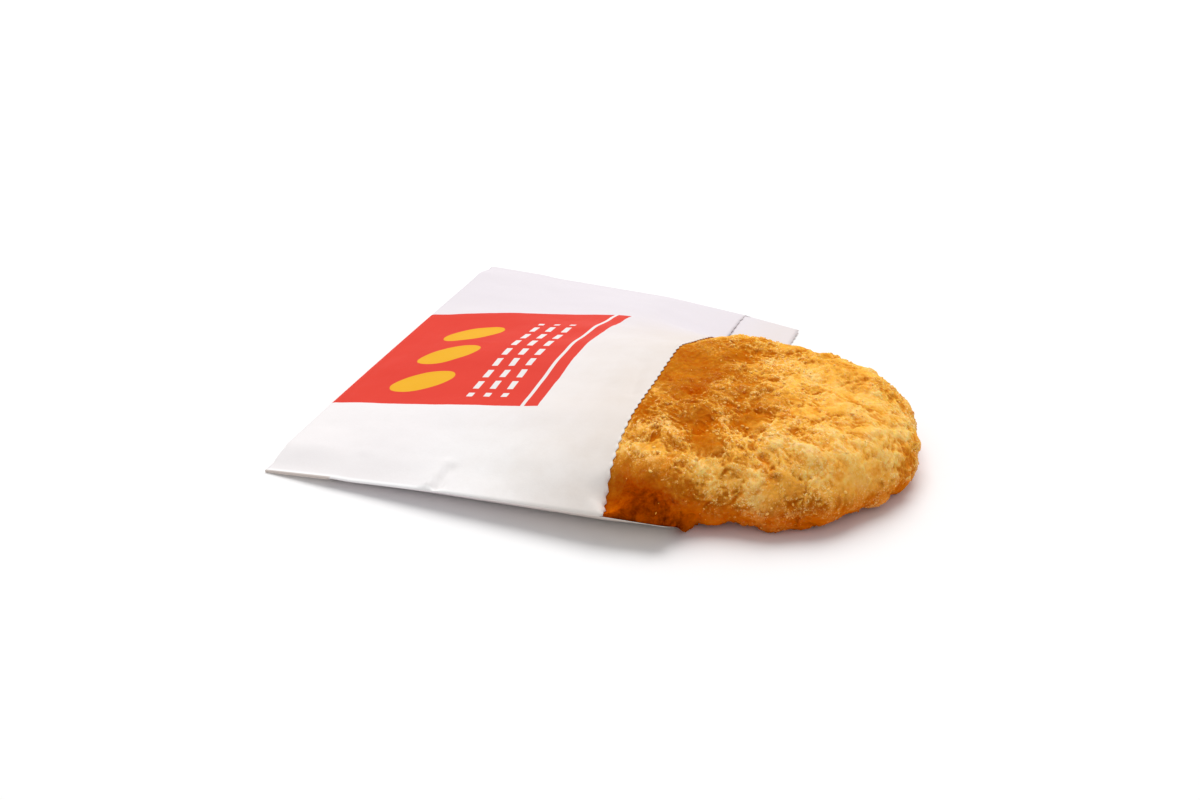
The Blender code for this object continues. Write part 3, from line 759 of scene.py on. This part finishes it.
def build_sleeve(settings, drape):
    """The front and back sheets in one piece, with the walls' thickness laid inwards."""
    bm = unit_sleeve()
    flat = bm.verts.layers.float_vector.new(FLAT_LAYER)
    lip = BACK_LENGTH / FRONT_LENGTH
    for vert in bm.verts:
        u, q, on_front = vert.co.x, vert.co.y, vert.co.z > 0.5
        s = packed_rows(u) * FRONT_LENGTH
        if abs(u - (1.0 if on_front else lip)) < SAME and SAME < q < 1 - SAME:
            s += tooth_at(q, settings.tooth)
        skew = (FRONT_SKEW if on_front else BACK_SKEW) * (1.0 - 2.0 * q) * min(u, 1.0)
        vert[flat] = Vector((s / MM, q * SLEEVE_WIDTH / MM, float(on_front)))
        vert.co = drape.at(drape.front if on_front else drape.back, s + skew, q)
    bmesh.ops.recalc_face_normals(bm, faces=bm.faces)
    outside = sleeve_finish("printed_paper", settings, True)
    inside = sleeve_finish("inner_paper", settings, False)
    sleeve = show(bm, "sleeve", outside, inside)
    wall = sleeve.modifiers.new("wall", "SOLIDIFY")
    wall.thickness = settings.paper
    wall.offset = -1.0
    wall.use_even_offset = False
    wall.material_offset = wall.material_offset_rim = 1
    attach(sleeve, "root")
    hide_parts("paper_sleeve")
    return sleeve


def build_flap(settings, drape):
    """The closed end's glued flap, folded under the sleeve."""
    bm = unit_box(FLAP_ROWS)
    flat = bm.verts.layers.float_vector.new(FLAT_LAYER)
    thick = FLAP_STEP - FLOOR_GAP - PLY_GAP / 2
    for vert in bm.verts:
        u, q, top = vert.co.x, vert.co.y, vert.co.z > 0.5
        s = u * FLAP_LENGTH + (tooth_at(q, settings.tooth) if u > 1 - SAME else 0.0)
        vert[flat] = Vector((-s / MM, q * SLEEVE_WIDTH / MM, 1.0))
        under = drape.at(drape.back, s, q)
        under.z = max(under.z - PLY_GAP / 2 - (0.0 if top else thick), FLOOR_GAP)
        vert.co = under
    bmesh.ops.recalc_face_normals(bm, faces=bm.faces)
    flap = show(bm, "sleeve_flap", sleeve_finish("flap_paper", settings, True))
    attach(flap, "root")
    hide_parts("paper_sleeve")
    return flap


# ---- crust: mesh
HIDDEN_TO = 66 * MM  # the patty is left plain further in than this
BLEND_IN = 4 * MM  # length over which its relief starts there
CUTS, HIDDEN_CUTS = 4, 1
SMOOTHINGS = 7
MERGE = 0.001 * MM
LEAST_HEIGHT = 0.1 * MM

# ---- crust: relief
RELIEF_SHIFT = Vector((130 * MM, 121 * MM, 93 * MM))
WARP = (5.5 * MM, 2.2 * MM)  # size and reach of the warp that makes chunks and shreds wander
WARP_SEED = 5
CHUNK_SIZE = 6.0 * MM
CHUNK_PICK = 7.3  # spread of the noise that picks which of the chunks are smooth
CHUNK_CHOICE = (-0.02, 0.1)
CHUNK_EDGE = (0.03, 0.3)
CHUNK_RISE = 0.3 * MM
CHUNK_BARE = 0.7
CHUNK_TINT = (3.1, 0.17)  # how the chunks' own tones are picked, and how much they differ
CREVICE = (0.14, 0.26 * MM)  # width, as a share of a chunk, and depth of the crevices between chunks
LUMP_SIZE = 5.2 * MM
SKIN_SIZE = 9.0 * MM
SHRED_SIZES = ((3.1 * MM, 3.4), (1.7 * MM, 2.8))  # size of the shreds, and how narrow they are
GRAIN_SIZE = 1.0 * MM
FINE_SIZE = 0.55 * MM
FINE_HEIGHT = 0.16 * MM
MOST_SMOOTH = 0.95
# Soft spots where the crust is browner (or, below zero, paler): place, reach and amount, in millimetres.
# Some of the pale ones are painted light.
BROWNING_AND_LIGHT_SPOTS = (
    ((77, 46, 16), (14, 26, 12), 0.31),  # the top along the mouth
    ((95, 40, 16), (12, 14, 8), 0.11),
    ((108, 52, 14), (18, 16, 12), -0.12),
    ((117, 37, 13), (14, 14, 10), -0.11),
    ((96, 14, 12), (13, 8, 6), -0.13),  # pale chunks by the near shoulder, lightened further as painted light on this shaded side
    ((108, 25, 13), (13, 8, 7), -0.06),
    ((79, 8, 9), (9, 6, 6), 0.34),  # the near wall beside the mouth
    ((85, 8, 6), (8, 5, 6), 0.3),
    ((77, 3, 7), (6, 4, 6), 0.22),
    ((112, 20, 8), (9, 6, 6), 0.1),
    # Painted light on the right rim
    ((121, 32, 5), (12, 14, 7), -0.19),
)
BASE_BROWN = 0.35
RIM_BROWN = 0.38
RIM_HEIGHT = (11 * MM, 2 * MM)
# Where the crust is a smooth skin with little grain: place, reach and amount.
SMOOTH_SPOTS = (((79, 5, 8), (12, 9, 10), 0.95), ((76, 48, 16), (13, 18, 8), 0.75),
                ((118, 26, 8), (7, 7, 5), 0.7), ((114, 48, 14), (15, 17, 12), 0.3),
                ((104, 60, 13), (8, 6, 6), 0.5))
SPOT_END = 6  # squared reach past which a spot has no effect
DRIP_PLACE = Vector((86.2, 5.2, 4.6)) * MM
DRIP_PULL = Vector((0.35, -0.7, -0.6))
DRIP = (3.4 * MM, 0.7 * MM)  # radius and length

# ---- crust: against the paper
PAPER_CLEARANCE = 0.12 * MM
PRESS = 0.35 * MM  # rounding where the paper presses the crust down
CONTACT_REACH = (4.5 * MM, 2.0 * MM)  # gap to the paper from which the crust nears it, and touches it
CONTACT_PAST = 3.5 * MM
MOUTH_RISE, MOUTH_PAST = 0.45, 0.4 * MM  # the crust may rise on this slope this far past the mouth
LIP_FALL, LIP_PAST = 1.2, 0.6 * MM  # and fall on this one past the lip
LIP_HOLD = (74 * MM, 90 * MM, 15 * MM)  # where the crust rests on the lip: from, to, and how far in
LIP_START = 3 * MM
LIP_CLEAR = 10 * MM  # the paper is left alone this far past there
SIDE_CLEAR = 0.35 * MM  # the crust keeps this far off the sleeve's side fold
FACES_UP, FACES_OUT = 0.3, -0.1  # least rise of a normal that faces the front sheet, or its edge
FOLD_GAP = 0.45 * MM  # how near the sleeve's side fold the crust fills the mouth
FOLD_PULL = (66 * MM, 72 * MM, 84 * MM, 89 * MM)  # where along the part it does so
FOLD_SPAN = 11 * MM  # how far in the crust is drawn along with it
EDGE_PITCH = 1 * MM


def spot_sum(p, spots):
    """Adds up soft spots given in millimetres at a point in metres."""
    total = 0.0
    for centre, reach, amount in spots:
        far = sum(((p[k] / MM - centre[k]) / reach[k]) ** 2 for k in range(3))
        if far < SPOT_END:
            total += amount * math.exp(-far)
    return total


def local_brown(p):
    """How brown the crust is at a point, before its fine unevenness, with painted light in some of its
    paler spots.
    """
    return BASE_BROWN + spot_sum(p, BROWNING_AND_LIGHT_SPOTS) + RIM_BROWN * ease(p.z, *RIM_HEIGHT)


def crust_height(p, settings):
    """The crust's relief at a point, its share of the tallest, how bare it is and its chunk's tone."""
    q = p + RELIEF_SHIFT
    smooth = min(spot_sum(p, SMOOTH_SPOTS), MOST_SMOOTH)
    warped = q + noise.noise_vector(q / WARP[0]) * WARP[1]
    distances, centres = noise.voronoi(warped / CHUNK_SIZE)
    depth = distances[1] - distances[0]
    chunk = ease(noise.noise(centres[0] * CHUNK_PICK), *CHUNK_CHOICE) * ease(depth, *CHUNK_EDGE)
    inside = ease(depth, 0.0, CREVICE[0])
    tint = noise.noise(centres[0] * CHUNK_TINT[0]) * CHUNK_TINT[1] * inside * (1.0 - 0.7 * smooth)
    bare = max(chunk * CHUNK_BARE, smooth)
    lump = noise.noise(warped / LUMP_SIZE)
    shred = 0.0
    for size, narrow in SHRED_SIZES:
        ridge = 1.0 - min(abs(noise.noise(warped / size)) * narrow, 1.0)
        shred = max(shred, ridge * ridge)
    grain = 0.5 - noise.voronoi(q / GRAIN_SIZE)[0][0]
    fine = noise.noise(q / FINE_SIZE)
    rough = 1.0 - bare
    skin = noise.noise(q / SKIN_SIZE)
    height = (skin * settings.lumps * 0.5 + lump * settings.lumps * (1.0 - 0.8 * smooth)
              + chunk * CHUNK_RISE * (1.0 - smooth) - (1.0 - inside) * CREVICE[1] * (1.0 - smooth)
              + shred * settings.shreds * rough
              + (grain * settings.grains + fine * FINE_HEIGHT) * (0.12 + 0.88 * rough))
    share = ((lump * 1.3 - (1.0 - inside) * 0.3) * (1.0 - smooth) + (shred * 1.1 - 0.25) * rough
             + (grain * 0.7 + fine * 0.5) * rough)
    return height, max(min(share, 1.0), -1.0), bare, tint


def smooth_min(a, b):
    """The lesser of two heights, rounded where they meet."""
    near = max(PRESS - abs(a - b), 0.0) / PRESS
    return min(a, b) - near ** 3 * PRESS / 6


def near_edge(bm):
    """The patty's nearest Y at even steps along the part."""
    steps = np.arange(0.0, CAD_BOX[1].x - CAD_BOX[0].x, EDGE_PITCH)
    xs = np.array([v.co.x for v in bm.verts])
    ys = np.array([v.co.y for v in bm.verts])
    edge = [ys[abs(xs - x) < EDGE_PITCH].min(initial=SLEEVE_WIDTH) for x in steps]
    return steps, np.array(edge)


def fill_fold(point, edge):
    """Draws the crust's near side out to the sleeve's side fold, about the mouth and over the lip."""
    start, full, hold, end = FOLD_PULL
    share = ease(point.x, start, full) * ease(point.x, end, hold)
    side = float(np.interp(point.x, *edge))
    inward = min(max((point.y - side) / FOLD_SPAN, 0.0), 1.0)
    fold_y = float(fold_at(NEAR_FOLD, point.x)[0])
    point.y -= max(side - fold_y - FOLD_GAP, 0.0) * (1.0 - inward) * share


def rest_on_paper(drape, point, normal):
    """Brings a point of the patty onto the paper where they are near, and keeps it off both sheets."""
    past_lip = max(point.x - BACK_LENGTH - LIP_PAST, 0.0)
    if point.x < BACK_LENGTH:
        point.y = max(point.y, float(fold_at(NEAR_FOLD, point.x)[0]) + SIDE_CLEAR)
    low = drape.back_height(min(point.x, BACK_LENGTH), point.y) + drape.paper + PAPER_CLEARANCE
    floor = low - LIP_FALL * past_lip
    start, end, span = LIP_HOLD
    if normal.z < FACES_UP and start < point.x < end and point.y < span:
        gap = point.z - floor
        point.z -= (max(gap, 0.0) * ease(gap, *CONTACT_REACH) * ease(normal.z, FACES_UP, FACES_OUT)
                    * ease(point.x, start, start + LIP_START))
    if normal.z > FACES_OUT:
        sheet, past_mouth = drape.front_height(point.x, point.y)
        roof = sheet - drape.paper - PAPER_CLEARANCE
        gap = roof - point.z
        if normal.z > FACES_UP and gap > 0:
            point.z += (gap * ease(gap, *CONTACT_REACH) * ease(past_mouth, CONTACT_PAST, 0.0)
                        * ease(point.x, HIDDEN_TO, HIDDEN_TO + BLEND_IN))
        point.z = smooth_min(point.z, roof + MOUTH_RISE * max(past_mouth - MOUTH_PAST, 0.0))
    point.z = max(point.z, floor, LEAST_HEIGHT)
    return point


def patty_mesh():
    """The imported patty, merged, cut fine where it shows and eased, in the sleeve's frame."""
    bm = bmesh.new()
    bm.from_mesh(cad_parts["hash_brown"].data)
    bmesh.ops.translate(bm, verts=bm.verts, vec=-CORNER)
    bmesh.ops.remove_doubles(bm, verts=bm.verts, dist=MERGE)
    for cuts, shown in ((CUTS, True), (HIDDEN_CUTS, False)):
        edges = [e for e in bm.edges if (max(v.co.x for v in e.verts) > HIDDEN_TO) == shown]
        bmesh.ops.subdivide_edges(bm, edges=edges, cuts=cuts, use_grid_fill=True)
    bmesh.ops.triangulate(bm, faces=[f for f in bm.faces if len(f.verts) > 3])
    for _ in range(SMOOTHINGS):
        bmesh.ops.smooth_vert(bm, verts=bm.verts, factor=0.5, use_axis_x=True, use_axis_y=True,
                              use_axis_z=True)
    return bm


def build_patty(settings, drape):
    """The patty with its crust, pressed to the paper."""
    noise.seed_set(WARP_SEED)
    bm = patty_mesh()
    brown, rise, bare = [bm.verts.layers.float.new(layer) for layer in CRUST_LAYERS]
    bm.normal_update()
    edge = near_edge(bm)
    moved = []
    for vert in bm.verts:
        p, n = vert.co.copy(), vert.normal.copy()
        fill_fold(p, edge)
        vert[brown] = local_brown(p)
        if p.x > HIDDEN_TO:
            height, vert[rise], vert[bare], tint = crust_height(p, settings)
            vert[brown] += tint
            drip = max(1 - ((p - DRIP_PLACE).length / DRIP[0]) ** 2, 0.0) ** 2
            p += n * height * ease(p.x, HIDDEN_TO, HIDDEN_TO + BLEND_IN) + DRIP_PULL * DRIP[1] * drip
        if p.x < LIP_HOLD[1] + LIP_CLEAR:
            p = rest_on_paper(drape, p, n)
        p.z = max(p.z, LEAST_HEIGHT)
        moved.append((vert, p))
    for vert, p in moved:
        vert.co = p
    patty = show(bm, "fried_patty", crust_finish("fried_crust_skin", settings))
    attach(patty, "root")
    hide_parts("hash_brown")
    return patty


# ---- crumbs
CRUMB_SEED = 41
CRUMB_SIZE = (0.14 * MM, 0.55 * MM)
CRUMB_WIDTH, CRUMB_HEIGHT = (0.35, 0.8), (0.3, 0.6)  # as shares of its size
CRUMB_UNEVEN = (0.75, 1.15)
CRUMB_TONE = (0.1, 0.7)  # how brown it is, as a share of the crust under it; paler, partly as painted light on their shaded sides
# A high rise gives the crumbs the crust's painted crest highlight
CRUMB_RISE, CRUMB_BARE = 0.7, 0.8
CRUMBS_FROM, CRUMBS_ABOVE, CRUMBS_FACING = 77 * MM, 1.2 * MM, -0.7
CRUMB_CHANCE = (0.25, 1.2)  # chance of one on level crust, and how it grows on a crest


def crumb_places(patty, rng, count):
    """Places on the crust that shows, with their normals, mostly on its grainy crests."""
    mesh = patty.data
    rise, bare = (mesh.attributes[layer].data for layer in CRUST_LAYERS[1:])
    shown = [v for v in mesh.vertices if v.co.x - CORNER.x > CRUMBS_FROM and v.co.z > CRUMBS_ABOVE
             and v.normal.z > CRUMBS_FACING]
    level, growth = CRUMB_CHANCE
    places = []
    while len(places) < count:
        vert = rng.choice(shown)
        crest = max(rise[vert.index].value, 0.0)
        if rng.random() < (1.0 - bare[vert.index].value) * (level + growth * crest):
            places.append((vert.co - CORNER, vert.normal.copy()))
    return places


def build_crumbs(settings, patty):
    """Crisp grains that stand on the crust, most of them paler than it, partly as painted light."""
    rng = random.Random(CRUMB_SEED)
    bm = bmesh.new()
    brown, rise, bare = [bm.verts.layers.float.new(layer) for layer in CRUST_LAYERS]
    low, high = CRUMB_SIZE
    for place, normal in crumb_places(patty, rng, settings.crumbs):
        size = low + (high - low) * rng.random() ** 3
        shape = (size, size * rng.uniform(*CRUMB_WIDTH), size * rng.uniform(*CRUMB_HEIGHT))
        turn = normal.to_track_quat("Z", "X") @ Quaternion((0, 0, 1), rng.uniform(0, math.tau))
        tone = local_brown(place) * rng.uniform(*CRUMB_TONE)
        for vert in bmesh.ops.create_icosphere(bm, subdivisions=1, radius=1.0)["verts"]:
            local = Vector([vert.co[k] * shape[k] * rng.uniform(*CRUMB_UNEVEN) for k in range(3)])
            vert.co = place + turn @ local
            vert[brown], vert[rise], vert[bare] = tone, CRUMB_RISE, CRUMB_BARE
    crumbs = show(bm, "crust_crumbs", crust_finish("crumb_skin", settings, soft=False))
    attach(crumbs, "root")
    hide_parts("hash_brown")


# ---- studio
AIM = Vector((53.87 * MM, 54.26 * MM, 0.0))
SENSOR = 36.0
CLIP_START = 0.01
FLOOR_SIZE = 6.0
FLOOR_CLOUD = 40 * MM
FLOOR_LOW = -0.02 * MM
KEY_FROM = Vector((-0.2, 0.58, 1.25))
KEY_SIZE = 1.6
KEY_DISTANCE = 1.7
SKY_COLOUR = (0.91, 0.955, 1.0, 1.0)


def set_camera(settings):
    """The photograph's view of the part."""
    az, el, roll = settings.azimuth, settings.elevation, settings.roll
    ahead = Vector((math.sin(az) * math.cos(el), math.cos(az) * math.cos(el), -math.sin(el)))
    right = Vector((math.cos(az), -math.sin(az), 0.0))
    up = right.cross(ahead)
    side = right * math.cos(roll) + up * math.sin(roll)
    top = up * math.cos(roll) - right * math.sin(roll)
    matrix = Matrix((side, top, -ahead)).transposed().to_4x4()
    matrix.translation = CORNER + AIM - ahead * settings.distance
    data = bpy.data.cameras.new("camera")
    data.lens = settings.lens
    data.sensor_width = SENSOR
    data.clip_start = CLIP_START
    camera = add_object("camera", data)
    camera.matrix_world = matrix
    bpy.context.scene.camera = camera


def build_studio(settings):
    """The floor, the one large lamp, the sky and the camera."""
    bm = bmesh.new()
    bmesh.ops.create_grid(bm, x_segments=4, y_segments=4, size=FLOOR_SIZE / 2)
    floor = show(bm, "studio_floor", floor_finish(settings), shift=(0, 0, FLOOR_LOW))
    light = bpy.data.lights.new("key", "AREA")
    light.shape = "DISK"
    light.size = KEY_SIZE
    light.energy = settings.key
    key = add_object("key", light)
    key.location = KEY_FROM.normalized() * KEY_DISTANCE
    key.rotation_euler = key.location.to_track_quat("Z", "Y").to_euler()
    world = bpy.data.worlds.new("sky")
    world.use_nodes = True
    background = world.node_tree.nodes["Background"]
    background.inputs["Color"].default_value = SKY_COLOUR
    background.inputs["Strength"].default_value = settings.sky
    bpy.context.scene.world = world
    bpy.context.scene.view_settings.view_transform = "Standard"
    set_camera(settings)


# ---- operators and panel
class HASHBROWN_OT_sleeve(bpy.types.Operator):
    """Builds the printed paper sleeve and its glued flap."""
    bl_idname = "hashbrown.sleeve"
    bl_label = "Build sleeve"

    def execute(self, context):
        settings = context.scene.hashbrown_sleeve
        drape = Drape(settings)
        build_sleeve(settings, drape)
        build_flap(settings, drape)
        return {"FINISHED"}


class HASHBROWN_OT_patty(bpy.types.Operator):
    """Builds the fried patty with its crust and crumbs."""
    bl_idname = "hashbrown.patty"
    bl_label = "Build patty"

    def execute(self, context):
        settings = context.scene.hashbrown_patty
        patty = build_patty(settings, Drape(context.scene.hashbrown_sleeve))
        build_crumbs(settings, patty)
        return {"FINISHED"}


class HASHBROWN_OT_studio(bpy.types.Operator):
    """Sets up the pale floor, the soft light and the camera."""
    bl_idname = "hashbrown.studio"
    bl_label = "Build studio"

    def execute(self, context):
        build_studio(context.scene.hashbrown_studio)
        return {"FINISHED"}


class HASHBROWN_PT_panel(bpy.types.Panel):
    """Lists the steps that build the part."""
    bl_label = "Hash brown"
    bl_idname = "HASHBROWN_PT_panel"
    bl_space_type = "VIEW_3D"
    bl_region_type = "UI"
    bl_category = "Hash brown"

    def draw(self, context):
        for operator in STEPS:
            self.layout.operator(operator.bl_idname)


STEPS = (HASHBROWN_OT_studio, HASHBROWN_OT_sleeve, HASHBROWN_OT_patty)
GROUPS = {"hashbrown_sleeve": SleeveSettings, "hashbrown_patty": PattySettings,
          "hashbrown_studio": StudioSettings}


def register():
    for kind in (*GROUPS.values(), *STEPS, HASHBROWN_PT_panel):
        bpy.utils.register_class(kind)
    for name, kind in GROUPS.items():
        setattr(bpy.types.Scene, name, bpy.props.PointerProperty(type=kind))


def unregister():
    for name in GROUPS:
        delattr(bpy.types.Scene, name)
    for kind in (HASHBROWN_PT_panel, *STEPS, *GROUPS.values()):
        bpy.utils.unregister_class(kind)


def main():
    register()
    bpy.ops.hashbrown.studio()
    bpy.ops.hashbrown.sleeve()
    bpy.ops.hashbrown.patty()


if __name__ == "__main__":
    main()
